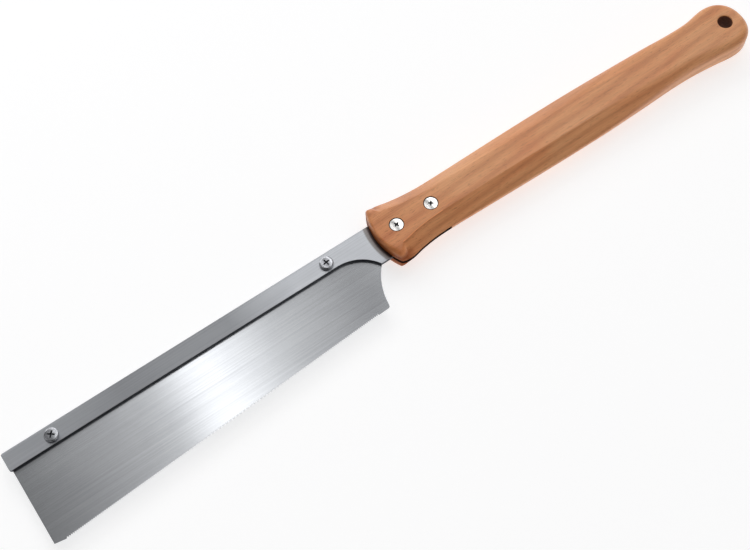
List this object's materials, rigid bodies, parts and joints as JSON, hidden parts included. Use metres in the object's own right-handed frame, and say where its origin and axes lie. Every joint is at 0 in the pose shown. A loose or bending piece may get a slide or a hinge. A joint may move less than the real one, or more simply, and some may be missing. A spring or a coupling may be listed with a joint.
{
  "type": "hand saw",
  "caption": "Straight-handled back saw with a screwed-on fine-toothed blade, a steel back plate with a tang, and a wooden handle with a hanging hole.",
  "frame": {"origin": "centre of the bounding box's bottom face, on the plane of the handle's rear face", "axes": "+X along the saw from the toe of the blade to the end of the handle, -Y towards the teeth, +Z out of the face with the screw heads"},
  "size_m": [0.561, 0.0749, 0.019],
  "materials": {
    "lacquered_wood": "clear lacquered beech, satin",
    "satin_steel": "satin ground plate",
    "blade_steel": "fine lengthwise grinding",
    "zinc_screw": "bright zinc plate",
    "zinc_hardware": "zinc plate, slightly dull",
    "nickel_head": "bright nickel plate"
  },
  "bodies": {
    "root": {"handle": "lacquered_wood", "back_plate": "satin_steel", "saw_blade": "blade_steel", "toe_clamp_screw": "zinc_screw", "heel_clamp_screw": "zinc_screw", "toe_clamp_washer": "zinc_hardware", "heel_clamp_washer": "zinc_hardware", "toe_clamp_nut": "zinc_hardware", "heel_clamp_nut": "zinc_hardware", "front_handle_screw": "nickel_head", "rear_handle_screw": "nickel_head", "front_sleeve_nut": "nickel_head", "rear_sleeve_nut": "nickel_head"}
  },
  "joints": []
}
